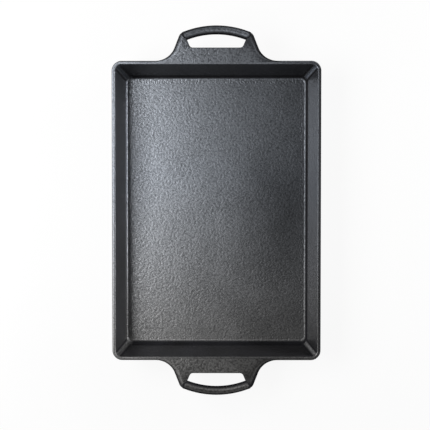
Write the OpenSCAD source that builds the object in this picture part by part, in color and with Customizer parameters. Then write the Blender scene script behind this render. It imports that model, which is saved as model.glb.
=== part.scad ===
// Rectangular cast-iron baking pan with sloped walls and a loop handle at each end.
// It is one casting, drawn as the sections that meet at its natural lines: base plate,
// four walls, four corners, and for each handle a web, two arms and a grip.
// The base stands on z = 0, centred on the origin. The handles lie along Y.

/* [Body] */
// Width over the rim
rim_w = 282; // [250:1:310]
// Length over the rim, without the handles
rim_l = 404; // [360:1:450]
// Height of the rim above the table
rim_h = 50; // [40:1:60]
// Thickness of the floor
floor_t = 5; // [4:0.5:6]
// Width of the rim across the top of a wall
rim_t = 4.5; // [4:0.1:5.5]
// Lean of the walls from upright, in degrees
wall_lean = 13.5; // [10:0.5:16]

/* [Rounding] */
// Radius of the rim's outer corners, seen from above
rim_corner_r = 13.5; // [12:0.5:16]
// Radius of the floor's corners, seen from above
floor_corner_r = 9; // [7:0.5:10]
// Radius of the hollow between floor and wall
floor_fillet_r = 3; // [2:0.5:4]
// Radius of the rounded edge under the base
base_edge_r = 6; // [4:0.5:7]
// Radius of the rim's outer edge
rim_edge_r = 2; // [1:0.25:2.5]
// Radius of the rim's inner edge
rim_lip_r = 0.7; // [0.4:0.1:1]

/* [Handles] */
// Reach of a handle beyond the rim
handle_reach = 47.5; // [46:0.5:49]
// Width between a handle's slanted sides, at the rim
handle_w = 127.5; // [127:0.5:134]
// Lean of the slanted sides, in degrees
side_lean = 21.5; // [20:0.5:23]
// Radius of the flare from a slanted side into the rim
flare_r = 28; // [20:1:32]
// Radius of a handle's outer corners, seen from above
handle_corner_r = 9; // [8:0.5:10]
// Thickness of a handle's web and arms
web_t = 7; // [6:0.5:8]
// Distance from the rim to the finger slot
slot_start = 17.7; // [16.1:0.2:18.9]
// Width of the finger slot on the rim's side
slot_inner_w = 70; // [66:0.5:74]
// Width of the finger slot on the grip's side
slot_outer_w = 79; // [77:0.5:80]
// Radius of the finger slot's two corners on the rim's side
slot_corner_r = 5; // [4:0.5:6]
// Width of the grip bar, seen from above
grip_w = 12; // [11:0.5:13]
// Thickness of the grip bar
grip_t = 10; // [9:0.5:12]
// Height of the grip's crown above the rim
grip_rise = 2; // [1:0.25:2.5]
// Radius of the grip's outer edge, seen from above
grip_r = 122; // [118:1:126]

/* [Hidden] */

body_colour = [0.16, 0.16, 0.17];
handle_colour = [0.20, 0.20, 0.21];

// Steps of a rounded edge, of a corner seen from above, and of a handle's long curves
edge_steps = 6;
corner_steps = 8;
curve_steps = 16;

// Run of a wall from the floor's edge to the rim, and what the rim's round edge takes off its width
wall_run = (rim_h - floor_t) * tan(wall_lean);
edge_loss = rim_edge_r * (1 / tan(45 - wall_lean / 2) - 1);
// Outward distances from the floor's edge to the rim's and the base's outer edges, before rounding
rim_out = wall_run + rim_t + edge_loss;
base_out = rim_out - rim_h * tan(wall_lean);
// Half sizes at the floor's edge
floor_x = rim_w / 2 + edge_loss - rim_out;
floor_y = rim_l / 2 + edge_loss - rim_out;
// Half sizes of the base plate: its edge lines pass through the centres of the floor's corners
plate_x = floor_x - floor_corner_r;
plate_y = floor_y - floor_corner_r;
// How far a corner's centre moves outward for each unit of height
centre_drift = (floor_corner_r + rim_out - rim_corner_r) / (rim_h - floor_t);

// Points of an arc about a centre, from angle a to angle b
function arc(centre, r, a, b, steps) =
    [for (i = [0:steps]) centre + r * [cos(a + (b - a) * i / steps), sin(a + (b - a) * i / steps)]];

// Points that round the corner at b, between a and c, with a tangent arc
function rounded_corner(a, b, c, r) =
    let (
        to_a = (a - b) / norm(a - b),
        to_c = (c - b) / norm(c - b),
        half_angle = acos(to_a * to_c) / 2,
        middle = (to_a + to_c) / norm(to_a + to_c),
        centre = b + middle * r / sin(half_angle),
        facing = atan2(-middle[1], -middle[0]),
        turn = to_a[0] * to_c[1] - to_a[1] * to_c[0] < 0 ? 90 - half_angle : half_angle - 90
    )
    arc(centre, r, facing - turn, facing + turn, edge_steps);

// Cross-section of a wall, as [distance outward from the floor's edge, height]
wall_corners = [
    [-floor_corner_r, 0],
    [base_out, 0],
    [rim_out, rim_h],
    [wall_run, rim_h],
    [0, floor_t],
    [-floor_corner_r, floor_t]
];
wall_radii = [base_edge_r, rim_edge_r, rim_lip_r, floor_fillet_r];
wall_outline = [
    for (i = [0:3])
        each rounded_corner(wall_corners[i], wall_corners[i + 1], wall_corners[i + 2], wall_radii[i])
];
wall_section = concat([wall_corners[0]], wall_outline, [wall_corners[5]]);

// One loop of the body's surface, at a point of the wall's outline
function loop_at(p) =
    let (
        drift = max(0, p[1] - floor_t) * centre_drift,
        r = floor_corner_r + p[0] - drift,
        x = plate_x + drift,
        y = plate_y + drift,
        centres = [[x, y], [-x, y], [-x, -y], [x, -y]]
    )
    [
        for (k = [0:3])
            each [for (q = arc(centres[k], r, 90 * k, 90 * k + 90, corner_steps)) [q[0], q[1], p[1]]]
    ];

// The grip's arc is centred inside the pan, at this distance outward from the rim
grip_centre = handle_reach - grip_r;
slot_r = grip_r - grip_w;
grip_half_angle = asin(slot_outer_w / 2 / slot_r);

// Each handle is let into the rim by this much, and its root runs this far past the flares
inlay = rim_edge_r + 0.2;
root_margin = 3;

// Outline of a handle's right arm, with Y outward from the rim
side_reach = handle_w / 2 * cos(side_lean);
flare_x = (side_reach + flare_r * (1 - sin(side_lean))) / cos(side_lean);
corner_pull = (side_reach - handle_corner_r - grip_centre * sin(side_lean)) / (grip_r - handle_corner_r);
corner_angle = side_lean + acos(corner_pull);
corner_centre = [0, grip_centre] + (grip_r - handle_corner_r) * [cos(corner_angle), sin(corner_angle)];
grip_end = [sin(grip_half_angle), cos(grip_half_angle)];
slot_outer_corner = [0, grip_centre] + slot_r * grip_end;
slot_inner_corner = [slot_inner_w / 2, slot_start];
slot_rounding = rounded_corner(slot_outer_corner, slot_inner_corner, [0, slot_start], slot_corner_r);
web_half_w = slot_rounding[edge_steps][0];
root_half_w = flare_x + root_margin;
arm_outline = concat(
    [[web_half_w, -inlay], [root_half_w, -inlay], [root_half_w, 0]],
    arc([flare_x, flare_r], flare_r, 270, 180 + side_lean, curve_steps),
    arc(corner_centre, handle_corner_r, side_lean, corner_angle, curve_steps),
    [[0, grip_centre] + grip_r * grip_end, slot_outer_corner],
    slot_rounding
);

// The whole body as one skin over its loops, closed under the base and across the floor
module body_skin() {
    loops = [for (p = wall_outline) loop_at(p)];
    n = len(loops[0]);
    last = len(loops) - 1;
    sides = [
        for (i = [0:last - 1], j = [0:n - 1])
            let (a = i * n + j, b = i * n + (j + 1) % n)
            each [[a, a + n, b], [b, a + n, b + n]]
    ];
    polyhedron(
        points = [for (ring = loops) each ring],
        faces = concat([[for (j = [0:n - 1]) j]], sides, [[for (j = [n - 1:-1:0]) last * n + j]])
    );
}

// A straight wall along X on the +Y side, from its cross-section
module straight_wall(half_length, edge) {
    translate([-half_length, edge, 0])
        rotate([90, 0, 90])
            linear_extrude(2 * half_length) polygon(wall_section);
}

// Turns a piece drawn on the +Y side to the end that side gives, and sets it at the rim's top
module at_end(side) {
    rotate([0, 0, side > 0 ? 0 : 180])
        translate([0, rim_l / 2, rim_h]) children();
}

// Floor of the pan
module base_plate() {
    color(body_colour)
        translate([-plate_x, -plate_y, 0]) cube([2 * plate_x, 2 * plate_y, floor_t]);
}

// Long wall, on the side of X that side gives
module side_wall(side) {
    color(body_colour)
        rotate([0, 0, side > 0 ? -90 : 90]) straight_wall(plate_y, floor_x);
}

// Short wall, with the seat that its handle is let into
module end_wall(side) {
    color(body_colour)
        difference() {
            rotate([0, 0, side > 0 ? 0 : 180]) straight_wall(plate_x, floor_y);
            at_end(side)
                translate([-root_half_w, -inlay, -web_t]) cube([2 * root_half_w, 2 * rim_t, 2 * web_t]);
        }
}

// Corner of the body, on the sides of X and Y that side_x and side_y give
module corner(side_x, side_y) {
    color(body_colour)
        intersection() {
            body_skin();
            translate([side_x > 0 ? plate_x : -rim_w, side_y > 0 ? plate_y : -rim_l, -1])
                cube([rim_w - plate_x, rim_l - plate_y, rim_h + 2]);
        }
}

// Flat web between the rim and the finger slot
module handle_web(side) {
    color(handle_colour)
        at_end(side)
            translate([-web_half_w, -inlay, -web_t]) cube([2 * web_half_w, inlay + slot_start, web_t]);
}

// Arm from the rim to one end of the grip
module handle_arm(side_x, side_y) {
    color(handle_colour)
        at_end(side_y)
            mirror([side_x * side_y > 0 ? 0 : 1, 0, 0])
                translate([0, 0, -web_t]) linear_extrude(web_t) polygon(arm_outline);
}

// Grip bar: an oval section swept along its arc
module grip(side) {
    color(handle_colour)
        at_end(side)
            translate([0, grip_centre, grip_rise - grip_t / 2])
                rotate([0, 0, 90 - grip_half_angle])
                    rotate_extrude(angle = 2 * grip_half_angle, $fn = 180)
                        polygon([
                            for (i = [0:4 * edge_steps - 1])
                                let (a = 90 * i / edge_steps)
                                [grip_r - grip_w / 2 + grip_w / 2 * cos(a), grip_t / 2 * sin(a)]
                        ]);
}

base_plate();
side_wall(-1);  // left_wall
side_wall(1);  // right_wall
end_wall(-1);  // front_wall
end_wall(1);  // rear_wall
corner(-1, -1);  // front_left_corner
corner(1, -1);  // front_right_corner
corner(-1, 1);  // rear_left_corner
corner(1, 1);  // rear_right_corner
handle_web(-1);  // front_web
handle_arm(-1, -1);  // front_left_arm
handle_arm(1, -1);  // front_right_arm
grip(-1);  // front_grip
handle_web(1);  // rear_web
handle_arm(-1, 1);  // rear_left_arm
handle_arm(1, 1);  // rear_right_arm
grip(1);  // rear_grip
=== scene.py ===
# %% [markdown]
# # A cast-iron baking pan
#
# This lesson dresses a rectangular cast-iron pan for a photograph taken from straight above.
# The pan is one casting: a pebbled floor, four sloped walls with rounded corners, a narrow
# rim, and a flat loop handle with a raised grip at each short end. The solid model gives the
# places and sizes, and each of its sections gets a finer skin here. Neighbouring skins share
# the same edge points and the same surface directions, so the pan still reads as one casting.

# %% Load the solid model
import math

import bmesh
import bpy
from mathutils import Matrix, Vector, geometry


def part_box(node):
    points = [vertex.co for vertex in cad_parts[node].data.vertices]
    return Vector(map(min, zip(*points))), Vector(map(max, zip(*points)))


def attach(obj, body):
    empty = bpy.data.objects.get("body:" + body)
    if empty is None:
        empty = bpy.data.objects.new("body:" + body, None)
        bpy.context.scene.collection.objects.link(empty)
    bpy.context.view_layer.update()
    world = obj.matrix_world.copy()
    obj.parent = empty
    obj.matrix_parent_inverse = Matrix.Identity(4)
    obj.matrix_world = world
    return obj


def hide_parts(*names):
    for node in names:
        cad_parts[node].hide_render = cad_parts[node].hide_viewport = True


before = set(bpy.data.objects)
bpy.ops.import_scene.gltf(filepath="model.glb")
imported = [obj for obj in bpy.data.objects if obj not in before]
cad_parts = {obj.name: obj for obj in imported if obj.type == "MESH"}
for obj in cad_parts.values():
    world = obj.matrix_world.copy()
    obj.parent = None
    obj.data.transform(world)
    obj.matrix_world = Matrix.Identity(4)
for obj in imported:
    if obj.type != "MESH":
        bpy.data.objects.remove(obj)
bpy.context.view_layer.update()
scene = bpy.context.scene
scene.view_settings.view_transform = "Standard"
print("solid sections:", len(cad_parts))

# %% [markdown]
# ## Sizes
#
# Most sizes are read from the solid sections, so the skins land where the solids are. What a
# box can't tell, such as a lean or a rounding, is named here in millimetres.

# %% Sizes of the body
MM = 0.001

PLATE_X, PLATE_Y, FLOOR_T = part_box("base_plate")[1]
RIM_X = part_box("right_wall")[1].x
RIM_Y, RIM_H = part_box("rear_wall")[1].yz

WALL_LEAN = math.radians(13.5)
RIM_T = 4.5 * MM
RIM_CORNER_R = 13.5 * MM
RIM_EDGE_R = 2 * MM
RIM_LIP_R = 0.7 * MM
BASE_EDGE_R = 6 * MM

# Places across a wall are measured outward from the foot of its inner side. EDGE_LOSS is what
# the rounding takes off the rim's outer corner, and CENTRE_DRIFT is how far the centre of a
# corner's turn moves outward for each metre of height.
WALL_RUN = (RIM_H - FLOOR_T) * math.tan(WALL_LEAN)
EDGE_LOSS = RIM_EDGE_R * (1 / math.tan(math.pi / 4 - WALL_LEAN / 2) - 1)
RIM_OUT = WALL_RUN + RIM_T + EDGE_LOSS
BASE_OUT = RIM_OUT - RIM_H * math.tan(WALL_LEAN)
FLOOR_X = RIM_X + EDGE_LOSS - RIM_OUT
FLOOR_Y = RIM_Y + EDGE_LOSS - RIM_OUT
FLOOR_CORNER_R = FLOOR_X - PLATE_X
CENTRE_DRIFT = (FLOOR_CORNER_R + RIM_OUT - RIM_CORNER_R) / (RIM_H - FLOOR_T)
print(f"rim {2000 * RIM_X:.0f} x {2000 * RIM_Y:.0f} mm, {1000 * RIM_H:.0f} mm high")

# %% [markdown]
# ## Camera
#
# The photograph looks down from about a metre above the rim, a little off the middle. The
# camera's place and lens were worked out from where the rim, the floor's edge and the handle
# tips lie in the picture. A camera that looks almost straight down has no clear upright, so
# its three axes are set out one by one, with the pan's length upward in the picture.

# %% Camera above the pan
CAMERA_PLACE = Vector((3.0, 18.0, 1075.5)) * MM
CAMERA_AIM = Vector((-1.9, -5.2, 50)) * MM
FOCAL_PIXELS = 761.3
PHOTO_PIXELS = 430
SENSOR_WIDTH = 36

camera_data = bpy.data.cameras.new("photo_camera")
camera_data.sensor_width = SENSOR_WIDTH
camera_data.lens = SENSOR_WIDTH * FOCAL_PIXELS / PHOTO_PIXELS
camera = bpy.data.objects.new("photo_camera", camera_data)
back = (CAMERA_PLACE - CAMERA_AIM).normalized()
right = Vector((0, 1, 0)).cross(back).normalized()
axes = Matrix((right, back.cross(right), back)).transposed()
camera.location = CAMERA_PLACE
camera.rotation_euler = axes.to_euler()
scene.collection.objects.link(camera)
scene.camera = camera
print(f"lens {camera_data.lens:.1f} mm")

# %% [markdown]
# ## Light
#
# A product photograph of black iron needs few lights. A soft box on the left, half way up,
# makes the broad sheen on the pan's floor, and the left wall's shadow gives that sheen its dark
# border. A low panel on the right lights the left wall. Area lamps are used because their size
# sets how soft a shadow is, and both are hidden from the camera.

# %% Soft boxes
PAN_MIDDLE = (0, 0, 30 * MM)
KEY_PLACE = (-0.525, 0.065, 0.60)
KEY_SIZE = (0.66, 0.44)
KEY_WATTS = 6.8
PANEL_PLACE = (1.1, 0.30, 0.34)
PANEL_SIZE = (1.2, 0.4)
PANEL_WATTS = 17.2


def soft_box(name, place, size, watts):
    data = bpy.data.lights.new(name, "AREA")
    data.shape = "RECTANGLE"
    data.size, data.size_y = size
    data.energy = watts
    light = bpy.data.objects.new(name, data)
    light.location = place
    aim = Vector(PAN_MIDDLE) - Vector(place)
    light.rotation_euler = aim.to_track_quat("-Z", "Y").to_euler()
    light.visible_camera = False
    scene.collection.objects.link(light)


soft_box("key_box", KEY_PLACE, KEY_SIZE, KEY_WATTS)
soft_box("right_panel", PANEL_PLACE, PANEL_SIZE, PANEL_WATTS)

# %% [markdown]
# ## White backdrop
#
# The pan lies on a white floor in front of a white backdrop. Lamps that make these white would
# flood the iron too, so they are white only to the eye: a ray from the camera, or one that a
# shiny surface passes on, sees them glow, and any other ray finds a matt floor in a dim studio.
# High up the eye also finds the dim studio, because the pan's end walls mirror that part and
# have to stay black. The floor keeps a faint share of the pan's shadow, which fades out further
# away, and the iron mirrors the floor with far more of it.
#
# Materials, the world and Geometry Nodes are all made of nodes, so the helper that adds a node
# and fills its inputs is written once, here, and serves them all.

# %% World
DIM_STUDIO = (0.020, 0.020, 0.020, 1)
WHITE = (1, 1, 1, 1)
WHITE_UP_TO = math.sin(math.radians(17))


def plug(tree, value, socket):
    """Sets a socket to a plain value, or links another node's output to it."""
    if isinstance(value, bpy.types.NodeSocket):
        tree.links.new(value, socket)
    else:
        socket.default_value = value


def step(tree, kind, inputs, **options):
    """Adds a node, sets its options, fills its inputs and returns its first output in use."""
    node = tree.nodes.new(kind)
    for option, value in options.items():
        setattr(node, option, value)
    for label, value in inputs.items():
        plug(tree, value, node.inputs[label])
    return next(output for output in node.outputs if output.enabled)


def maths(tree, operation, *values):
    return step(tree, "ShaderNodeMath", dict(enumerate(values)), operation=operation)


def mixed(tree, share, a, b):
    return step(tree, "ShaderNodeMixShader", {0: share, 1: a, 2: b})


def along_axis(tree, where, axis):
    node = tree.nodes.new("ShaderNodeSeparateXYZ")
    plug(tree, where, node.inputs[0])
    return node.outputs[axis]


def seen_by_eye(tree):
    """1 for a ray from the camera, or one that a shiny or clear surface passes on."""
    path = tree.nodes.new("ShaderNodeLightPath").outputs
    passed_on = maths(tree, "MAXIMUM", path["Is Glossy Ray"], path["Is Transmission Ray"])
    return maths(tree, "MAXIMUM", path["Is Camera Ray"], passed_on)


world = bpy.data.worlds.new("studio")
scene.world = world
world.use_nodes = True
tree = world.node_tree
dim = tree.nodes["Background"]
dim.inputs["Color"].default_value = DIM_STUDIO
white = step(tree, "ShaderNodeBackground", {"Color": WHITE})
gaze = tree.nodes.new("ShaderNodeTexCoord").outputs["Generated"]
low = maths(tree, "LESS_THAN", along_axis(tree, gaze, "Z"), WHITE_UP_TO)
shown = maths(tree, "MULTIPLY", low, seen_by_eye(tree))
studio = mixed(tree, shown, dim.outputs[0], white)
plug(tree, studio, tree.nodes["World Output"].inputs["Surface"])
print(f"white up to {math.degrees(math.asin(WHITE_UP_TO)):.0f} degrees above the horizon")

# %% White floor
FLOOR_HALF = 6.0
FLOOR_GAP = 0.2 * MM
MATT_WHITE = (0.9, 0.9, 0.9, 1)
SHADOW_SHARE = 0.1
SHADOW_NEAR, SHADOW_FAR = 0.5, 1.6
MIRRORED_SHADOW = 0.8


def spread(tree, value, low, high, in_low=0.0, in_high=1.0, curve="LINEAR"):
    """Maps in_low to in_high onto low to high, and holds the ends beyond that."""
    ranges = {"From Min": in_low, "From Max": in_high, "To Min": low, "To Max": high}
    return step(tree, "ShaderNodeMapRange", {"Value": value, **ranges}, interpolation_type=curve)


def distance(tree, where):
    return step(tree, "ShaderNodeVectorMath", {0: where}, operation="LENGTH")


floor_paint = bpy.data.materials.new("studio_floor")
floor_paint.use_nodes = True
tree = floor_paint.node_tree
tree.nodes.remove(tree.nodes["Principled BSDF"])
matt = step(tree, "ShaderNodeBsdfDiffuse", {"Color": MATT_WHITE})
glow = step(tree, "ShaderNodeEmission", {"Color": WHITE})
away = distance(tree, tree.nodes.new("ShaderNodeTexCoord").outputs["Object"])
direct = spread(tree, away, SHADOW_SHARE, 0, SHADOW_NEAR, SHADOW_FAR, "SMOOTHSTEP")
in_iron = tree.nodes.new("ShaderNodeLightPath").outputs["Is Glossy Ray"]
shadow = spread(tree, in_iron, direct, MIRRORED_SHADOW)
to_eye = mixed(tree, shadow, glow, matt)
painted = mixed(tree, seen_by_eye(tree), matt, to_eye)
plug(tree, painted, tree.nodes["Material Output"].inputs["Surface"])

floor_mesh = bpy.data.meshes.new("studio_floor")
floor_corners = [Vector((x, y, 0)) * FLOOR_HALF for x, y in ((-1, -1), (1, -1), (1, 1), (-1, 1))]
floor_mesh.from_pydata([p - Vector((0, 0, FLOOR_GAP)) for p in floor_corners], [], [(0, 1, 2, 3)])
floor_mesh.materials.append(floor_paint)
studio_floor = bpy.data.objects.new("studio_floor", floor_mesh)
scene.collection.objects.link(studio_floor)
print("floor half width:", FLOOR_HALF, "m")

# %% [markdown]
# ## Seasoned iron
#
# Seasoned cast iron is a black skin of baked oil over grey metal. The two differ a lot: the
# skin is nearly black, and the iron under it gives the satin sheen. So each skin mesh carries
# two attributes. "bare" says how far the iron shows through, and "polish" how slick the surface
# is: high on the floor and the rim, low in painted shade and on iron raw from the mould, where
# the sheen dies away as well. In places the two also carry painted light and shade, as the
# finishes below say. One function makes each finish from them.
#
# Patterns break up the even finish. Soot fills the hollows between pebbles, broad patches are
# duller than others, two soft patches of painted shade lie on the floor, one for the left wall's
# shadow and one darkening the floor's right part, and the grey of the iron turns from cool to
# warm towards the front. All patterns use Object coordinates, so they run on unbroken from one
# section to the next.

# %% Pattern helpers
ASKEW = (0.6, 0.4, 0.5)
SHADE_PATCH_HEIGHT = 8 * MM


def tilted(tree, where):
    """Coordinates turned askew, so that a noise's own grid doesn't show on a level surface."""
    inputs = {"Vector": where, "Rotation": ASKEW}
    return step(tree, "ShaderNodeVectorRotate", inputs, rotation_type="EULER_XYZ")


def noise(tree, where, scale, detail):
    return step(tree, "ShaderNodeTexNoise", {"Vector": where, "Scale": scale, "Detail": detail})


def attribute(tree, name):
    node = tree.nodes.new("ShaderNodeAttribute")
    node.attribute_name = name
    return node.outputs["Fac"]


def blended(tree, share, a, b):
    return step(tree, "ShaderNodeMix", {"Factor": share, "A": a, "B": b}, data_type="RGBA")


def bump(tree, relief, depth, under=None):
    inputs = {"Height": relief, "Distance": depth}
    if under:
        inputs["Normal"] = under
    return step(tree, "ShaderNodeBump", inputs)


def outside_painted_shade(tree, where, middle, half, loss):
    """1 away from a patch of painted shade on the pan's floor, and less towards its middle."""
    radii = (*half, SHADE_PATCH_HEIGHT)
    start = [-c / r for c, r in zip((*middle, FLOOR_T), radii)]
    shrunk = {"Vector": where, "Location": start, "Scale": [1 / r for r in radii]}
    away = distance(tree, step(tree, "ShaderNodeMapping", shrunk))
    return spread(tree, away, 1 - loss, 1.0, curve="SMOOTHSTEP")


print("noise turned by", [round(math.degrees(angle)) for angle in ASKEW], "degrees")

# %% Cast-iron finishes
BLACK_SKIN = (0.0045, 0.0045, 0.0050, 1)
WORN_SKIN = (0.0135, 0.0135, 0.0164, 1)
COOL_IRON = (0.394, 0.421, 0.466, 1)
WARM_IRON = (0.428, 0.421, 0.414, 1)
COOL_END, WARM_END = 50 * MM, -220 * MM
ALL_METAL = 0.3
DULL, SLICK = 0.95, 0.20
DULL_SHEEN, OIL_SHEEN = 0.05, 0.5
FULL_SHEEN_POLISH = 0.7
OIL_IOR = 1.44
PATCH_SIZE = 45 * MM
PATCH_DETAIL = 3.0
PATCH_DULLNESS = 0.1
PATCH_LOW, PATCH_HIGH = 0.3, 0.7
HOLLOW, LEVEL = 0.3, 0.6
PEBBLE_DETAIL, GRAIN_DETAIL = 0.3, 2.0
PEBBLES_UP_TO = 1.5 * FLOOR_T
PEBBLES_LEFT = 0.15
# Two patches of painted shade on the floor: the right one darkens the floor's right part, away
# from the key light, and the left one paints the left wall's shadow.
RIGHT_FLOOR_SHADE = dict(middle=(95 * MM, -8 * MM), half=(90 * MM, 140 * MM), loss=0.4)
LEFT_WALL_SHADOW = dict(middle=(-108 * MM, 70 * MM), half=(24 * MM, 190 * MM), loss=0.25)


def cast_iron(name, pebble, pebble_depth, grain, grain_depth, pits, near_floor=False):
    """pebble and grain are sizes across, and pits is how much soot fills the hollows."""
    paint = bpy.data.materials.new(name)
    paint.use_nodes = True
    tree = paint.node_tree
    shader = tree.nodes["Principled BSDF"].inputs
    where = tree.nodes.new("ShaderNodeTexCoord").outputs["Object"]
    askew = tilted(tree, where)
    pebbles = noise(tree, askew, 1 / pebble, PEBBLE_DETAIL)
    grains = noise(tree, askew, 1 / grain, GRAIN_DETAIL)
    patches = noise(tree, where, 1 / PATCH_SIZE, PATCH_DETAIL)

    clean = spread(tree, pebbles, 1 - pits, 1.0, HOLLOW, LEVEL)
    bare = maths(tree, "MULTIPLY", attribute(tree, "bare"), clean)
    # Painted shade: less iron shows inside each patch.
    for shade_patch in (RIGHT_FLOOR_SHADE, LEFT_WALL_SHADOW):
        bare = maths(tree, "MULTIPLY", bare, outside_painted_shade(tree, where, **shade_patch))
    lighter_share = spread(tree, patches, 0.0, 1.0, PATCH_LOW, PATCH_HIGH)
    skin = blended(tree, lighter_share, BLACK_SKIN, WORN_SKIN)
    warmth = spread(tree, along_axis(tree, where, "Y"), 1.0, 0.0, WARM_END, COOL_END)
    iron = blended(tree, warmth, COOL_IRON, WARM_IRON)
    polish = attribute(tree, "polish")
    rough = spread(tree, polish, DULL, SLICK)
    sheen = spread(tree, polish, DULL_SHEEN, OIL_SHEEN, 0.0, FULL_SHEEN_POLISH)
    plug(tree, blended(tree, bare, skin, iron), shader["Base Color"])
    plug(tree, spread(tree, bare, 0.0, 1.0, 0.0, ALL_METAL), shader["Metallic"])
    plug(tree, maths(tree, "MULTIPLY_ADD", patches, PATCH_DULLNESS, rough), shader["Roughness"])
    plug(tree, sheen, shader["Specular IOR Level"])
    plug(tree, OIL_IOR, shader["IOR"])

    surface = bump(tree, grains, grain_depth)
    if near_floor:
        height = along_axis(tree, where, "Z")
        fade = spread(tree, height, 1.0, PEBBLES_LEFT, FLOOR_T, PEBBLES_UP_TO)
        pebbles = maths(tree, "MULTIPLY", pebbles, fade)
    if pebble_depth:
        surface = bump(tree, pebbles, pebble_depth, surface)
    plug(tree, surface, shader["Normal"])
    return paint


FLOOR_PEBBLE = 2.1 * MM
floor_iron = cast_iron("pebbled_floor_iron", pebble=FLOOR_PEBBLE, pebble_depth=0,
                       grain=1.0 * MM, grain_depth=0.16 * MM, pits=0.35)
wall_iron = cast_iron("smooth_wall_iron", pebble=FLOOR_PEBBLE, pebble_depth=0.42 * MM,
                      grain=1.0 * MM, grain_depth=0.05 * MM, pits=0.35, near_floor=True)
handle_iron = cast_iron("sand_cast_handle_iron", pebble=2.6 * MM, pebble_depth=0.25 * MM,
                        grain=0.9 * MM, grain_depth=0.12 * MM, pits=0.50)
print("finishes:", [m.name for m in (floor_iron, wall_iron, handle_iron)])

# %% [markdown]
# ## A helper for skins
#
# Each skin is a closed mesh whose faces are given corner by corner, as a place, a surface
# direction and a finish. Giving the directions outright, instead of letting Blender average
# them, keeps flat faces flat right up to their rounded edges and makes the cut between two
# sections vanish. Corners at one place share a vertex, and a face that shrinks to a line is
# dropped. A skin can be drawn once for the right and rear side and mirrored to the others.
# A finish is a pair: how far the iron shows through, and how slick it is.

# %% Skin helper
SAME_PLACE = 0.0005 * MM
RAW = Vector((0.0, 0.05))
OUTSIDE = Vector((0.02, 0.55))


class Skin:
    """The mesh of one section, built up face by face."""

    def __init__(self, side_x=1, side_y=1):
        self.flip = Vector((side_x, side_y, 1))
        self.mirrored = side_x * side_y < 0
        self.places = []
        self.finishes = []
        self.found = {}
        self.faces = []
        self.directions = []

    def vertex(self, place):
        key = tuple(round(c / SAME_PLACE) for c in place)
        if key not in self.found:
            self.found[key] = len(self.places)
            self.places.append(place)
        return self.found[key]

    def face(self, corners):
        """corners is a list of (place, direction, finish), anticlockwise seen from outside."""
        kept = []
        for place, direction, finish in corners:
            index = self.vertex(place * self.flip)
            if index not in [k[0] for k in kept]:
                kept.append((index, direction * self.flip, finish))
        if self.mirrored:
            kept.reverse()
        if len(kept) > 2:
            self.faces.append([k[0] for k in kept])
            self.directions.extend(k[1].normalized() for k in kept)
            self.finishes.extend(k[2] for k in kept)

    def flat_face(self, places):
        direction = geometry.normal(places)
        self.face([(p, direction, RAW) for p in places])

    def piece(self, name, paint):
        mesh = bpy.data.meshes.new(name)
        mesh.from_pydata(self.places, [], self.faces)
        mesh.materials.append(paint)
        for i, label in enumerate(("bare", "polish")):
            layer = mesh.attributes.new(label, "FLOAT", "CORNER")
            layer.data.foreach_set("value", [f[i] for f in self.finishes])
        mesh.normals_split_custom_set(self.directions)
        obj = bpy.data.objects.new(name, mesh)
        scene.collection.objects.link(obj)
        return obj


def keep(obj, node):
    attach(obj, "root")
    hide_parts(node)
    print(obj.name, len(obj.data.vertices), "vertices")


print(f"outside of the pan: {OUTSIDE.x:.2f} bare, {OUTSIDE.y:.2f} polished")

# %% [markdown]
# ## The wall's cross-section
#
# All four walls and all four corners share one cross-section: under the base, round its edge,
# up the outside, over the rim, down the inside and through the hollow into the floor. It is a
# polygon whose corners are replaced by tangent arcs, and every point carries the direction
# that the surface faces there. The rim is a little crowned, as cast rims are, so one side of
# it catches the light and the other side falls dark.

# %% Rounded corners of a section
EDGE_STEPS = 7


def rounded(a, b, c, r):
    """Points and outward directions of the arc that rounds corner b, going from a to c."""
    a, b, c = Vector(a), Vector(b), Vector(c)
    to_a, to_c = (a - b).normalized(), (c - b).normalized()
    half = to_a.angle(to_c) / 2
    middle = (to_a + to_c).normalized()
    centre = b + middle * (r / math.sin(half))
    outside = to_a.x * to_c.y - to_a.y * to_c.x < 0
    turn = (math.pi / 2 - half) * (1 if outside else -1)
    facing = math.atan2(-middle.y, -middle.x)
    arc = []
    for i in range(EDGE_STEPS + 1):
        angle = facing - turn + 2 * turn * i / EDGE_STEPS
        ray = Vector((math.cos(angle), math.sin(angle)))
        arc.append((centre + ray * r, ray if outside else -ray))
    return arc


base_inner = (-FLOOR_CORNER_R, 0)
base_outer = (BASE_OUT, 0)
rim_outer = (RIM_OUT, RIM_H)
rim_inner = (WALL_RUN, RIM_H)
floor_outer = (0, FLOOR_T)
floor_inner = (-FLOOR_CORNER_R, FLOOR_T)
print("points in a rounded corner:", EDGE_STEPS + 1)

# %% [markdown]
# ## Wear and painted light round the wall
#
# A pan wears unevenly. The rim and the floor are rubbed down to grey iron, and the inner walls
# keep their black skin, set lighter or darker wall by wall to paint how each is lit. Painted shade
# runs as a dull line along the foot of a wall, and on the left wall a painted highlight stands
# there instead. The right wall is painted lightest at its middle, and the outer side of its rim
# is painted dark. So each wall gets its own finishes, which change from point to point round
# the section, and on the right wall also along its length.

# %% Finishes of the wall
PAN_FLOOR = Vector((0.94, 0.78))
# The inner walls' skins paint how each wall is lit: lightest at the right wall's middle, darkest
# on the front wall.
LEFT_SKIN = Vector((0.054, 0.80))
FRONT_SKIN = Vector((0.007, 0.68))
REAR_SKIN = Vector((0.026, 0.78))
RIGHT_SKINS = {
    "front": Vector((0.020, 0.74)),
    "middle": Vector((0.170, 0.81)),
    "rear": Vector((0.070, 0.80)),
}
# Painted shade: a dull black finish for the dark line along the foot of the front, rear and right
# walls, and for the dark flanks of each corner's painted highlight.
PAINTED_SHADE = Vector((0.0, 0.2))
# Painted highlight: a brighter, slicker finish for the bright line along the foot of the left
# wall.
LEFT_FOOT_HIGHLIGHT = Vector((0.39, 0.88))
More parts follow.
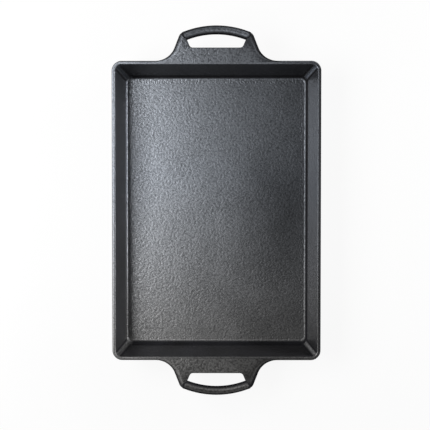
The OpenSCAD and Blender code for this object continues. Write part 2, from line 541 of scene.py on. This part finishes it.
# RIM_TOP is the rubbed rim. The other tops paint how the rim is lit: the right one darker, the
# front one a little darker, and the rear one brighter at the handle's root.
RIM_TOP = Vector((0.87, 0.81))
FRONT_TOP = Vector((0.739, 0.81))
RIGHT_TOP = Vector((0.348, 0.81))
# Painted shade on the right rim's outer edge.
RIGHT_EDGE_SHADE = Vector((0.044, 0.75))
REAR_ROOT = Vector((0.957, 0.75))
print(f"iron shows on the floor: {PAN_FLOOR.x:.2f}, on the left wall: {LEFT_SKIN.x:.2f}")

# %% Cross-section
CROWN = 0.16 * MM
OUTSIDE_UP_TO = 0.75
LIP_DOWN_TO, FOOT_FADES_AT, FOOT_UP_TO = 0.97, 0.14, 0.04
LIP_WEAR = 0.5
LIP_POWER = 2.0


def ease(share):
    share = max(0, min(1, share))
    return share * share * (3 - 2 * share)


def graded(arc, start, end, power=1.0):
    """Adds to each point of an arc a finish that goes from start to end, late for a high power."""
    last = len(arc) - 1
    return [(p, d, start.lerp(end, (i / last) ** power)) for i, (p, d) in enumerate(arc)]


def crowned(point, height):
    """Lowers a rim point by its distance from the rim's middle, and tilts it to match."""
    place, direction, finish = point
    half = RIM_T / 2
    aside = (place.x - WALL_RUN - half) / half
    upward = max(0, direction.y)
    lowered = place - Vector((0, height * aside ** 2 * upward))
    leaned = direction + Vector((upward ** 2 * 2 * height * aside / half, 0))
    return lowered, leaned.normalized(), finish


def wall_section(inside, foot, foot_tilt, hollow_r, crest, rim_edge_darkening, top, crown=CROWN):
    """(place, direction, finish) from under the base, over the rim and down to the floor.
    The rim goes from crest, outside, to top, and the edge's power says how late its edge gets
    there; a high power keeps the edge raw and dark, which paints shade on the right rim's edge."""
    points = [(Vector(base_inner), Vector((0, -1)), OUTSIDE)]
    points += graded(rounded(base_inner, base_outer, rim_outer, BASE_EDGE_R), OUTSIDE, OUTSIDE)
    rim = graded(rounded(base_outer, rim_outer, rim_inner, RIM_EDGE_R), RAW, crest, rim_edge_darkening)
    low, facing = points[-1][:2]
    points.append((low.lerp(rim[0][0], OUTSIDE_UP_TO), facing, OUTSIDE))
    lip = rounded(rim_outer, rim_inner, floor_outer, RIM_LIP_R)
    rim += graded(lip, top, top.lerp(inside, LIP_WEAR), LIP_POWER)
    points += [crowned(point, crown) for point in rim]
    hollow = rounded(rim_inner, floor_outer, floor_inner, hollow_r)
    low, facing = hollow[0]
    high = points[-1][0]
    points.append((low.lerp(high, LIP_DOWN_TO), facing, inside))
    points.append((low.lerp(high, FOOT_FADES_AT), facing, inside))
    points.append((low.lerp(high, FOOT_UP_TO), facing, foot))
    # Through the hollow the floor's finish turns into the foot's: painted shade on most walls, a
    # painted highlight on the left wall.
    for place, direction in hollow:
        to_foot = ease(direction.angle(Vector((0, 1))) / math.radians(foot_tilt))
        points.append((place, direction, PAN_FLOOR.lerp(foot, to_foot)))
    points.append((Vector(floor_inner), Vector((0, 1)), PAN_FLOOR))
    return points


# Each wall's finishes, real wear and painted light together.
LEFT_WEAR_AND_LIGHT = dict(inside=LEFT_SKIN, foot=LEFT_FOOT_HIGHLIGHT, foot_tilt=50, hollow_r=3 * MM,
                 crest=RIM_TOP, rim_edge_darkening=1.5, top=RIM_TOP)
RIGHT_WEAR_AND_LIGHT = dict(foot=PAINTED_SHADE, foot_tilt=50, hollow_r=4 * MM,
                  crest=RIGHT_EDGE_SHADE, rim_edge_darkening=8.0, top=RIGHT_TOP)
FRONT_WEAR_AND_LIGHT = dict(inside=FRONT_SKIN, foot=PAINTED_SHADE, foot_tilt=28, hollow_r=7 * MM,
                  crest=FRONT_TOP, rim_edge_darkening=3.0, top=FRONT_TOP)
REAR_WEAR_AND_LIGHT = dict(inside=REAR_SKIN, foot=PAINTED_SHADE, foot_tilt=40, hollow_r=5 * MM,
                 crest=RIM_TOP, rim_edge_darkening=3.0, top=RIM_TOP)
REAR_ROOT_WEAR_AND_LIGHT = {**REAR_WEAR_AND_LIGHT, "top": REAR_ROOT}

left_section = wall_section(**LEFT_WEAR_AND_LIGHT)
right_sections = {}
for part, inside in RIGHT_SKINS.items():
    right_sections[part] = wall_section(inside=inside, **RIGHT_WEAR_AND_LIGHT)
end_sections = {"front": wall_section(**FRONT_WEAR_AND_LIGHT), "rear": wall_section(**REAR_WEAR_AND_LIGHT)}
root_sections = {
    "front": wall_section(**FRONT_WEAR_AND_LIGHT, crown=0),
    "rear": wall_section(**REAR_ROOT_WEAR_AND_LIGHT, crown=0),
}
print("points round the wall:", len(left_section))

# %% [markdown]
# ## Walls
#
# A straight wall is its cross-section drawn along a line. An end wall also has a seat cut into
# its rim, as wide as the handle's root, so that the handle's plate lies flush with the rim.
# The seat uses the same number of points as the full section, which lets one loft cover both.
# The rim's crown fades out towards the seat.

# %% Seat for a handle
ROOT_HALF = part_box("rear_right_arm")[1].x
web_low, web_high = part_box("rear_web")
WEB_HALF = web_high.x
WEB_T = RIM_H - web_low.z
INLAY = RIM_Y - web_low.y
SLOT_START = web_high.y - RIM_Y

foot_out = RIM_OUT - WEB_T * math.tan(WALL_LEAN)
seat_out = RIM_OUT - EDGE_LOSS - INLAY
leaning = Vector((math.cos(WALL_LEAN), -math.sin(WALL_LEAN)))

# A section's points are one under the base, the base's edge, one up the outside, the rim's
# outer edge, its lip, three down the inside, the hollow, and one on the floor.
seat_from = 1 + (EDGE_STEPS + 1) + 1
seat_to = seat_from + EDGE_STEPS + 1
inside_from = seat_to + EDGE_STEPS + 1
inside_to = inside_from + 2


def seated(points):
    """A wall's section with its rim cut back for a handle."""
    seat = list(points)
    for i in range(EDGE_STEPS + 1):
        along_foot = min(1, 2 * i / EDGE_STEPS)
        up_back = max(0, 2 * i / EDGE_STEPS - 1)
        x = foot_out + (seat_out - foot_out) * along_foot
        seat[seat_from + i] = (Vector((x, RIM_H - WEB_T * (1 - up_back))), Vector((0, 1)), RAW)
    seat[seat_from] = (seat[seat_from][0], leaning, RAW)
    seat[seat_to - 1] = (seat[seat_to - 1][0], Vector((0, 1)), points[seat_to][2])
    return seat


print(f"seat {2000 * ROOT_HALF:.1f} mm wide")

# %% Straight walls
def straight_wall(name, stations, edge, side):
    """stations is a list of (distance along the wall, section), and side the way it faces."""
    along = Vector((-math.sin(side), math.cos(side), 0))
    out = Vector((math.cos(side), math.sin(side), 0))
    up = Vector((0, 0, 1))
    skin = Skin()
    rows = []
    for station, points in stations:
        row = []
        for place, direction, finish in points:
            spot = along * station + out * (edge + place.x) + up * place.y
            row.append((spot, out * direction.x + up * direction.y, finish))
        rows.append(row)
    for here, there in zip(rows, rows[1:]):
        for i in range(len(here)):
            quad = [there[i - 1], there[i], here[i], here[i - 1]]
            beside_seat = (here[i][0] - there[i][0]).length < WEB_T
            if i == 0 or beside_seat:
                skin.flat_face([c[0] for c in quad])
            else:
                skin.face(quad)
    skin.flat_face([c[0] for c in rows[0]])
    skin.flat_face([c[0] for c in rows[-1]][::-1])
    return skin.piece(name, wall_iron)


def end_stations(end):
    points, root = end_sections[end], root_sections[end]
    half = [(ROOT_HALF, seated(root)), (ROOT_HALF, root), (PLATE_X, points)]
    return [(-station, section) for station, section in half[::-1]] + half


left_stations = [(-PLATE_Y, left_section), (PLATE_Y, left_section)]
right_stations = [(-PLATE_Y, right_sections["front"]), (0, right_sections["middle"]),
                  (PLATE_Y, right_sections["rear"])]
walls = (
    ("right_wall", right_stations, FLOOR_X, 0),
    ("rear_wall", end_stations("rear"), FLOOR_Y, math.pi / 2),
    ("left_wall", left_stations, FLOOR_X, math.pi),
    ("front_wall", end_stations("front"), FLOOR_Y, -math.pi / 2),
)
for node, stations, edge, side in walls:
    wall = straight_wall("cast_" + node, stations, edge, side)
    keep(wall, node)

# %% [markdown]
# ## Corners
#
# A corner is the same section swept through a quarter turn. The corners are tighter at the
# floor than at the rim, so the centre of the turn drifts outward with the height, and a short
# flat stretch on each side joins the turn to the straight walls. A thin painted highlight runs
# down the inner wall of each corner, with painted shade on both sides of it.

# %% Corners
CORNER_STEPS = 24
CORNER_HIGHLIGHT = Vector((0.365, 0.82))
CORNER_HIGHLIGHT_FROM = 0.72


def wall_corner(name, side_section, end_section, side_x, side_y):
    """Blends from a side wall's section to an end wall's round a quarter turn."""
    skin = Skin(side_x, side_y)
    rows = []
    for j in range(-1, CORNER_STEPS + 2):
        share = max(0, min(1, j / CORNER_STEPS))
        angle = math.pi / 2 * share
        ray = Vector((math.cos(angle), math.sin(angle), 0))
        inward = math.sin(2 * angle)
        row = []
        for i, (from_side, from_end) in enumerate(zip(side_section, end_section)):
            place, direction, finish = (a.lerp(b, share) for a, b in zip(from_side, from_end))
            drift = max(0, place.y - FLOOR_T) * CENTRE_DRIFT
            r = FLOOR_CORNER_R + place.x - drift
            spot = Vector((PLATE_X + drift, PLATE_Y + drift, place.y)) + ray * r
            if j < 0:
                spot.y = PLATE_Y
            if j > CORNER_STEPS:
                spot.x = PLATE_X
            # On the inner wall, painted shade darkens the corner's turn, and a thin painted
            # highlight runs down its middle.
            if inside_from <= i <= inside_to:
                highlight_share = ease((inward - CORNER_HIGHLIGHT_FROM) / (1 - CORNER_HIGHLIGHT_FROM))
                finish = finish.lerp(PAINTED_SHADE, ease(2 * inward)).lerp(CORNER_HIGHLIGHT, highlight_share)
            row.append((spot, ray * direction.x + Vector((0, 0, direction.y)), finish))
        rows.append(row)
    for here, there in zip(rows, rows[1:]):
        for i in range(1, len(here)):
            skin.face([there[i - 1], there[i], here[i], here[i - 1]])
    skin.flat_face([c[0] for c in rows[0]])
    skin.flat_face([c[0] for c in rows[-1]][::-1])
    return skin.piece(name, wall_iron)


for end, side_y in (("front", -1), ("rear", 1)):
    for side, side_x, points in (("left", -1, left_section), ("right", 1, right_sections[end])):
        node = f"{end}_{side}_corner"
        corner = wall_corner("cast_" + node, points, end_sections[end], side_x, side_y)
        keep(corner, node)

# %% [markdown]
# ## Pebbled floor
#
# Sand leaves low, rounded pebbles all over the pan's floor. Geometry Nodes raise and lower a
# grid of more than 80,000 points by a noise pattern, which is lighter than sculpting and can be
# tuned by the tree's inputs. It is the same noise that the finish reads, turned askew in the
# same way, so the soot lies in the real hollows. The relief fades out at the border, where the
# walls' smooth hollow takes over. A skirt and an underside then close the plate.

# %% Growing helpers
def node_tree(name, sizes):
    """A Geometry Nodes tree with a number input for each of the sizes, and a material input."""
    tree = bpy.data.node_groups.new(name, "GeometryNodeTree")
    tree.interface.new_socket("Geometry", in_out="OUTPUT", socket_type="NodeSocketGeometry")
    for label, value in sizes.items():
        socket = tree.interface.new_socket(label, in_out="INPUT", socket_type="NodeSocketFloat")
        socket.default_value = value
    tree.interface.new_socket("material", in_out="INPUT", socket_type="NodeSocketMaterial")
    return tree, tree.nodes.new("NodeGroupInput").outputs


def vector(tree, **parts):
    return step(tree, "ShaderNodeCombineXYZ", parts)


def marked(tree, made, label, value):
    inputs = {"Geometry": made, "Name": label, "Value": value}
    return step(tree, "GeometryNodeStoreNamedAttribute", inputs, domain="POINT")


def finish_tree(tree, made, material):
    whole = step(tree, "GeometryNodeRealizeInstances", {0: made})
    coated = step(tree, "GeometryNodeSetMaterial", {"Geometry": whole, "Material": material})
    plug(tree, coated, tree.nodes.new("NodeGroupOutput").inputs[0])


def grown(name, tree, paint, sizes):
    """Runs a tree on an empty object and returns its result as a plain mesh object."""
    source = bpy.data.objects.new(name + "_source", bpy.data.meshes.new(name + "_source"))
    scene.collection.objects.link(source)
    modifier = source.modifiers.new("grow", "NODES")
    modifier.node_group = tree
    sockets = [item for item in tree.interface.items_tree if item.in_out == "INPUT"]
    names = {socket.name: socket.identifier for socket in sockets}
    for label, value in sizes.items():
        modifier[names[label]] = value
    modifier[names["material"]] = paint
    ready = source.evaluated_get(bpy.context.evaluated_depsgraph_get())
    mesh = bpy.data.meshes.new_from_object(ready)
    mesh.name = name
    mesh.materials.clear()
    mesh.materials.append(paint)
    mesh.polygons.foreach_set("material_index", [0] * len(mesh.polygons))
    bpy.data.objects.remove(source)
    obj = bpy.data.objects.new(name, mesh)
    scene.collection.objects.link(obj)
    return obj


print("Geometry Nodes trees so far:", len(bpy.data.node_groups))

# %% Floor relief
FLOOR_CELL = 1.0 * MM
RELIEF_DEPTH = 0.40 * MM
RELIEF_BORDER = 2.0 * MM
NOISE_MIDDLE = 0.5
FLOOR_SIZES = dict(width=2 * PLATE_X, length=2 * PLATE_Y, height=FLOOR_T, cell=FLOOR_CELL,
                   pebble=FLOOR_PEBBLE, depth=RELIEF_DEPTH, border=RELIEF_BORDER,
                   bare=PAN_FLOOR.x, polish=PAN_FLOOR.y)


def floor_tree():
    tree, size = node_tree("pebbled_floor", FLOOR_SIZES)
    across = maths(tree, "DIVIDE", size["width"], size["cell"])
    deep = maths(tree, "DIVIDE", size["length"], size["cell"])
    grid = step(tree, "GeometryNodeMeshGrid", {
        "Size X": size["width"], "Size Y": size["length"],
        "Vertices X": across, "Vertices Y": deep})
    up = vector(tree, Z=size["height"])
    raised = step(tree, "GeometryNodeTransform", {"Geometry": grid, "Translation": up})

    place = step(tree, "GeometryNodeInputPosition", {})
    inside = []
    for axis, side in (("X", "width"), ("Y", "length")):
        half = maths(tree, "MULTIPLY", size[side], 0.5)
        aside = maths(tree, "ABSOLUTE", along_axis(tree, place, axis))
        inside.append(maths(tree, "SUBTRACT", half, aside))
    nearest = maths(tree, "MINIMUM", *inside)
    fade = maths(tree, "MINIMUM", maths(tree, "DIVIDE", nearest, size["border"]), 1)

    scale = maths(tree, "DIVIDE", 1.0, size["pebble"])
    pebbles = noise(tree, tilted(tree, place), scale, PEBBLE_DETAIL)
    level = maths(tree, "SUBTRACT", pebbles, NOISE_MIDDLE)
    rise = maths(tree, "MULTIPLY", maths(tree, "MULTIPLY", level, size["depth"]), fade)
    lift = vector(tree, Z=rise)
    moved = step(tree, "GeometryNodeSetPosition", {"Geometry": raised, "Offset": lift})
    smooth = step(tree, "GeometryNodeSetShadeSmooth", {"Geometry": moved})
    made = marked(tree, smooth, "bare", size["bare"])
    made = marked(tree, made, "polish", size["polish"])
    finish_tree(tree, made, size["material"])
    return tree


pan_floor = grown("cast_pan_floor", floor_tree(), floor_iron, FLOOR_SIZES)
print("points in the relief:", len(pan_floor.data.vertices))

# %% Underside of the floor
def close_plate(mesh):
    """Closes a sheet with a skirt and an underside."""
    bm = bmesh.new()
    bm.from_mesh(mesh)
    bare, polish = (bm.verts.layers.float[label] for label in ("bare", "polish"))

    def low_vertex(x, y):
        vert = bm.verts.new((x, y, 0))
        vert[bare], vert[polish] = OUTSIDE
        return vert

    border = [e for e in bm.edges if e.is_boundary]
    rim = [v for v in bm.verts if v.is_boundary]
    below = {vert: low_vertex(*vert.co.xy) for vert in rim}
    middle = low_vertex(0, 0)
    for edge in border:
        a, b = edge.verts
        edge.smooth = False
        bm.faces.new((a, b, below[b], below[a]))
        bm.faces.new((below[a], below[b], middle))
    bmesh.ops.recalc_face_normals(bm, faces=bm.faces[:])
    bm.to_mesh(mesh)
    bm.free()


close_plate(pan_floor.data)
keep(pan_floor, "base_plate")

# %% [markdown]
# ## Handle plates
#
# Each handle is a flat plate let into the rim: a web between the rim and the finger slot, and
# two flared arms. What makes it read as iron is the edge. The outer edge of an arm is a broad
# rounding, the edge of the slot a small one, and where an arm runs into the rim its edge takes
# on the rim's own radius and lean. So the plate is drawn as an outline in which each point has
# its own edge, and the edges are lofted from point to point. The flat top is filled with small
# triangles instead of one large face, because its finish changes from place to place: painted
# shade darkens an arm towards the grip, and a right arm towards its outer edge as well.

# %% Handle sizes
HANDLE_W = 127.5 * MM
SIDE_LEAN = math.radians(21.5)
FLARE_R = 28 * MM
HANDLE_CORNER_R = 9 * MM
SLOT_INNER_W = 70 * MM
SLOT_OUTER_W = 79 * MM
SLOT_CORNER_R = 5 * MM
GRIP_R = 122 * MM
GRIP_W = 12 * MM

grip_low, grip_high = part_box("rear_grip")
GRIP_T = grip_high.z - grip_low.z
GRIP_CENTRE = grip_high.y - RIM_Y - GRIP_R
SLOT_R = GRIP_R - GRIP_W
GRIP_HALF_ANGLE = math.asin(SLOT_OUTER_W / 2 / SLOT_R)
print(f"handle reach {1000 * (GRIP_CENTRE + GRIP_R):.1f} mm")

# %% Outline of an arm
CURVE_STEPS = 20
TIP_TRIM = 2


def polar(angle):
    return Vector((math.cos(angle), math.sin(angle)))


def bend(centre, r, start, end, facing):
    """Outline points along an arc, with the direction that the edge faces."""
    angles = [start + (end - start) * i / CURVE_STEPS for i in range(CURVE_STEPS + 1)]
    return [(centre + polar(a) * r, polar(a) * facing) for a in angles]


side_reach = HANDLE_W / 2 * math.cos(SIDE_LEAN)
flare_x = (side_reach + FLARE_R * (1 - math.sin(SIDE_LEAN))) / math.cos(SIDE_LEAN)
flare_middle = Vector((flare_x, FLARE_R))
grip_middle = Vector((0, GRIP_CENTRE))
corner_reach = GRIP_R - HANDLE_CORNER_R
corner_pull = (side_reach - HANDLE_CORNER_R - GRIP_CENTRE * math.sin(SIDE_LEAN)) / corner_reach
corner_angle = SIDE_LEAN + math.acos(corner_pull)
corner_middle = grip_middle + polar(corner_angle) * corner_reach
grip_end = polar(math.pi / 2 - GRIP_HALF_ANGLE)
arm_tip = grip_middle + grip_end * GRIP_R
slot_outer = grip_middle + grip_end * SLOT_R
slot_inner = Vector((SLOT_INNER_W / 2, SLOT_START))

# The corner's last points lie past the arm's tip, so they give way to the tip itself.
outer_edge = [(Vector((ROOT_HALF, 0)), Vector((0, 1)))]
outer_edge += bend(flare_middle, FLARE_R, 1.5 * math.pi, math.pi + SIDE_LEAN, -1)
flare_end = len(outer_edge)
outer_edge += bend(corner_middle, HANDLE_CORNER_R, SIDE_LEAN, corner_angle, 1)[:-TIP_TRIM]
outer_edge.append((arm_tip, grip_end))

slot_facing = Vector((-grip_end.y, grip_end.x))
slot_edge = [(arm_tip, slot_facing), (slot_outer, slot_facing)]
slot_edge += rounded(slot_outer, slot_inner, Vector((0, SLOT_START)), SLOT_CORNER_R)
print("outline points:", len(outer_edge) + len(slot_edge))

# %% Edge of a plate
TOP_CELL = 3.1 * MM


def edge_profile(r, broad, foot_r, draft):
    """(inset, depth, outward share, upward share) from a plate's top down its edge."""
    points = []
    for i in range(EDGE_STEPS + 1):
        a = math.pi / 2 - (math.pi / 2 + draft) * i / EDGE_STEPS
        ray = Vector((math.cos(a) / broad, math.sin(a))).normalized()
        points.append((r * broad * (1 - math.cos(a)), r * (math.sin(a) - 1), ray.x, ray.y))
    inset, depth = points[-1][:2]
    foot_z = foot_r * (1 - math.sin(draft)) - WEB_T
    middle = inset + (depth - foot_z) * math.tan(draft) + foot_r * math.cos(draft)
    for i in range(EDGE_STEPS + 1):
        a = -draft - (math.pi / 2 - draft) * i / EDGE_STEPS
        height = foot_r * (1 + math.sin(a)) - WEB_T
        points.append((middle - foot_r * math.cos(a), height, math.cos(a), math.sin(a)))
    return points


def filled(border):
    """Fills an outline with small triangles, so that a finish can change across it."""
    low_x, high_x = min(p.x for p in border), max(p.x for p in border)
    low_y, high_y = min(p.y for p in border), max(p.y for p in border)
    across = int((high_x - low_x) / TOP_CELL)
    deep = int((high_y - low_y) / TOP_CELL)
    spots = list(border)
    for i in range(across):
        for j in range(deep):
            spots.append(Vector((low_x + (i + 0.5) * TOP_CELL, low_y + (j + 0.5) * TOP_CELL)))
    ring = list(range(len(border)))
    spots, _, triangles = geometry.delaunay_2d_cdt(spots, [], [ring], 1, SAME_PLACE)[:3]
    return spots, triangles


def mitred(a, b):
    """The inward step at a corner between two edges that face a and b."""
    return -(a + b) / (1 + a.dot(b))


def edged_plate(name, runs, cut, finish_and_shade, side_x, side_y):
    """runs hold (point, facing, edge darkening, profile) for each outline point, cut is the hidden
    border, and the fourth argument gives the finish of a spot on the plate's top, painted shade
    included."""
    skin = Skin(side_x, side_y)

    def at(spot, depth):
        return Vector((spot.x, RIM_Y + spot.y, RIM_H + depth))

    columns = []
    border = []
    for k, run in enumerate(runs):
        for j, (point, facing, edge_darkening, profile) in enumerate(run):
            inward = -facing
            if k and j == 0:
                inward = mitred(facing, runs[k - 1][-1][1])
            if k + 1 < len(runs) and j + 1 == len(run):
                inward = mitred(facing, runs[k + 1][0][1])
            edge = edge_profile(*profile)
            border.append(point + inward * edge[0][0])
            column = []
            for inset, depth, out, up in edge:
                direction = Vector((facing.x * out, facing.y * out, up))
                finish = RAW.lerp(finish_and_shade(border[-1]), max(0, up) ** edge_darkening)
                column.append((at(point + inward * inset, depth), direction, finish))
            columns.append(column)
    for here, there in zip(columns, columns[1:]):
        for i in range(1, len(here)):
            skin.face([here[i - 1], here[i], there[i], there[i - 1]])

    border += cut
    spots, triangles = filled(border)
    for triangle in triangles:
        skin.face([(at(spots[i], 0), Vector((0, 0, 1)), finish_and_shade(spots[i])) for i in triangle])
    tops = [at(c, 0) for c in cut]
    feet = [at(c, -WEB_T) for c in cut]
    skin.flat_face(([c[-1][0] for c in columns] + feet)[::-1])
    skin.flat_face([c[0] for c in columns[-1]] + [feet[0], tops[0]])
    skin.flat_face([tops[0], feet[0], feet[1], tops[1]])
    skin.flat_face([tops[1], feet[1]] + [c[0] for c in columns[0]][::-1])
    return skin.piece(name, handle_iron)


print("points down an edge:", 2 * (EDGE_STEPS + 1))

# %% Webs and arms
FRONT_PLATE = Vector((0.98, 0.81))
REAR_PLATE = Vector((1.10, 0.81))
ARM_EDGE_R = 5.2 * MM
ARM_BROAD = 1.4
SLOT_EDGE_R = 1.8 * MM
FOOT_EDGE_R = 1.0 * MM
PLATE_DRAFT = math.radians(6)
TIP_POINTS = 3
# How late an arm's edge rounding takes the top's finish. A high power keeps the edge raw and dark,
# which paints shade on the right arms' edges.
ARM_EDGE_DARKENING = {"left": 9.0, "right": 30.0}
SLOT_SOOT = 12.0
# Painted shade on the arms' tops: towards the grip on every arm, and towards the outer edge on a
# right arm.
NECK_SHADE = {"left": 0.45, "right": 0.75}
NECK_START, NECK_END = 0.5 * SLOT_START, slot_outer.y
BRINK_SHADE = {"left": 0.0, "right": 0.85}
BRINK_BAND = 14 * MM

brink = [point for point, facing in outer_edge[2:]]


def outer_run(edge_darkening):
    """The outer edge of an arm: the rim's own edge at the root, a broad rounding further out."""
    run = []
    for i, (point, facing) in enumerate(outer_edge):
        grow = ease(i / flare_end)
        swell = grow * ease((len(outer_edge) - 1 - i) / TIP_POINTS)
        r = RIM_EDGE_R + (ARM_EDGE_R - RIM_EDGE_R) * swell
        broad = 1 + (ARM_BROAD - 1) * swell
        draft = WALL_LEAN + (PLATE_DRAFT - WALL_LEAN) * grow
        run.append((point, facing, edge_darkening, (r, broad, FOOT_EDGE_R * grow, draft)))
    return run


def slot_run(outline):
    profile = (SLOT_EDGE_R, 1, FOOT_EDGE_R, PLATE_DRAFT)
    return [(point, facing, SLOT_SOOT, profile) for point, facing in outline]


def plate_finish_and_shade(top, neck_shade=0, brink_shade=0):
    """A finish with painted shade towards the grip, and towards the arm's outer edge."""
    def finish_and_shade(spot):
        neck = ease((spot.y - NECK_START) / (NECK_END - NECK_START))
        near = min((spot - point).length for point in brink)
        edge = 1 - ease(near / BRINK_BAND)
        shown = (1 - neck_shade * neck) * (1 - brink_shade * edge)
        return Vector((top.x * shown, top.y))
    return finish_and_shade


web_edge = [(Vector((x, SLOT_START)), Vector((0, 1))) for x in (WEB_HALF, -WEB_HALF)]
web_cut = [Vector((-WEB_HALF, -INLAY)), Vector((WEB_HALF, -INLAY))]
arm_cut = [Vector((WEB_HALF, -INLAY)), Vector((ROOT_HALF, -INLAY))]
for end, side_y, top in (("front", -1, FRONT_PLATE), ("rear", 1, REAR_PLATE)):
    web = edged_plate(f"cast_{end}_web", [slot_run(web_edge)], web_cut, plate_finish_and_shade(top), 1, side_y)
    keep(web, f"{end}_web")
    for side, side_x in (("left", -1), ("right", 1)):
        node = f"{end}_{side}_arm"
        runs = [outer_run(ARM_EDGE_DARKENING[side]), slot_run(slot_edge)]
        finish_and_shade = plate_finish_and_shade(top, NECK_SHADE[side], BRINK_SHADE[side])
        arm = edged_plate("cast_" + node, runs, arm_cut, finish_and_shade, side_x, side_y)
        keep(arm, node)

# %% [markdown]
# ## Grips
#
# The grip is a thick oval bar that bows outward. It follows a path, so Geometry Nodes sweep an
# oval along an arc. The scale of the oval shrinks to nothing at both ends, which gives the bar
# domed ends that sink into the arms, as on a casting. Hands rub its crest, so the finish falls
# off quickly down the sides, which also paints shade there. A painted highlight makes the bar
# slowly brighter towards the right, and painted shade darkens it into both domed ends.

# %% Grip bars
FRONT_GRIP = Vector((0.62, 0.80))
REAR_GRIP = Vector((0.80, 0.80))
GRIP_SINK = 5 * MM
GRIP_DOME = 1.2 * GRIP_SINK
HIGHLIGHT_DOUBLES_OVER = 14 * GRIP_W
CREST_POWER = 12.0
GRIP_STEPS, OVAL_STEPS = 160, 40
END_MERGE = 0.01 * MM

grip_mid_r = GRIP_R - GRIP_W / 2
half_sweep = GRIP_HALF_ANGLE + GRIP_SINK / grip_mid_r


def grip_sizes(side_y, finish):
    return dict(radius=grip_mid_r, start=side_y * math.pi / 2 - half_sweep, sweep=2 * half_sweep,
                width=GRIP_W, thickness=GRIP_T, dome=GRIP_DOME, doubling=HIGHLIGHT_DOUBLES_OVER,
                forward=side_y * (RIM_Y + GRIP_CENTRE), height=grip_low.z + GRIP_T / 2,
                bare=finish.x, polish=finish.y)


def grip_tree(sizes):
    tree, size = node_tree("grip_bar", sizes)
    arc = step(tree, "GeometryNodeCurveArc", {
        "Resolution": GRIP_STEPS, "Radius": size["radius"],
        "Start Angle": size["start"], "Sweep Angle": size["sweep"]}, mode="RADIUS")
    upright = step(tree, "GeometryNodeSetCurveNormal", {"Curve": arc}, mode="Z_UP")

    along = tree.nodes.new("GeometryNodeSplineParameter").outputs["Factor"]
    nearer = maths(tree, "MINIMUM", along, maths(tree, "SUBTRACT", 1.0, along))
    length = maths(tree, "MULTIPLY", size["radius"], size["sweep"])
    from_end = maths(tree, "MULTIPLY", nearer, length)
    share = maths(tree, "MINIMUM", maths(tree, "DIVIDE", from_end, size["dome"]), 1.0)
    into = maths(tree, "SUBTRACT", 1.0, share)
    dome = maths(tree, "SQRT", maths(tree, "SUBTRACT", 1.0, maths(tree, "MULTIPLY", into, into)))
    # Painted highlight: the crest's finish grows brighter towards the right, and painted shade
    # fades it out into both domed ends.
    rightward = along_axis(tree, step(tree, "GeometryNodeInputPosition", {}), "X")
    reach = maths(tree, "ADD", rightward, size["doubling"])
    brighter = maths(tree, "DIVIDE", reach, size["doubling"])
    path = marked(tree, upright, "lighter_share", maths(tree, "MULTIPLY", share, brighter))

    unit_circle = {"Resolution": OVAL_STEPS, "Radius": 0.5}
    ring = step(tree, "GeometryNodeCurvePrimitiveCircle", unit_circle)
    stretch = vector(tree, X=size["width"], Y=size["thickness"])
    oval = step(tree, "GeometryNodeTransform", {"Geometry": ring, "Scale": stretch})
    swept = {"Curve": path, "Profile Curve": oval, "Scale": dome}
    bar = step(tree, "GeometryNodeCurveToMesh", swept)
    closed = step(tree, "GeometryNodeMergeByDistance", {"Geometry": bar, "Distance": END_MERGE})
    smooth = step(tree, "GeometryNodeSetShadeSmooth", {"Geometry": closed})
    shift = vector(tree, Y=size["forward"], Z=size["height"])
    placed = step(tree, "GeometryNodeTransform", {"Geometry": smooth, "Translation": shift})

    upward = along_axis(tree, step(tree, "GeometryNodeInputNormal", {}), "Z")
    crest = maths(tree, "POWER", maths(tree, "MAXIMUM", upward, 0.0), CREST_POWER)
    lighter_share = step(tree, "GeometryNodeInputNamedAttribute", {"Name": "lighter_share"}, data_type="FLOAT")
    shine = maths(tree, "MULTIPLY", crest, lighter_share)
    made = marked(tree, placed, "bare", maths(tree, "MULTIPLY", shine, size["bare"]))
    made = marked(tree, made, "polish", maths(tree, "MULTIPLY", crest, size["polish"]))
    finish_tree(tree, made, size["material"])
    return tree


grip_nodes = grip_tree(grip_sizes(1, REAR_GRIP))
for end, side_y, top in (("front", -1, FRONT_GRIP), ("rear", 1, REAR_GRIP)):
    grip = grown(f"cast_{end}_grip", grip_nodes, handle_iron, grip_sizes(side_y, top))
    keep(grip, f"{end}_grip")
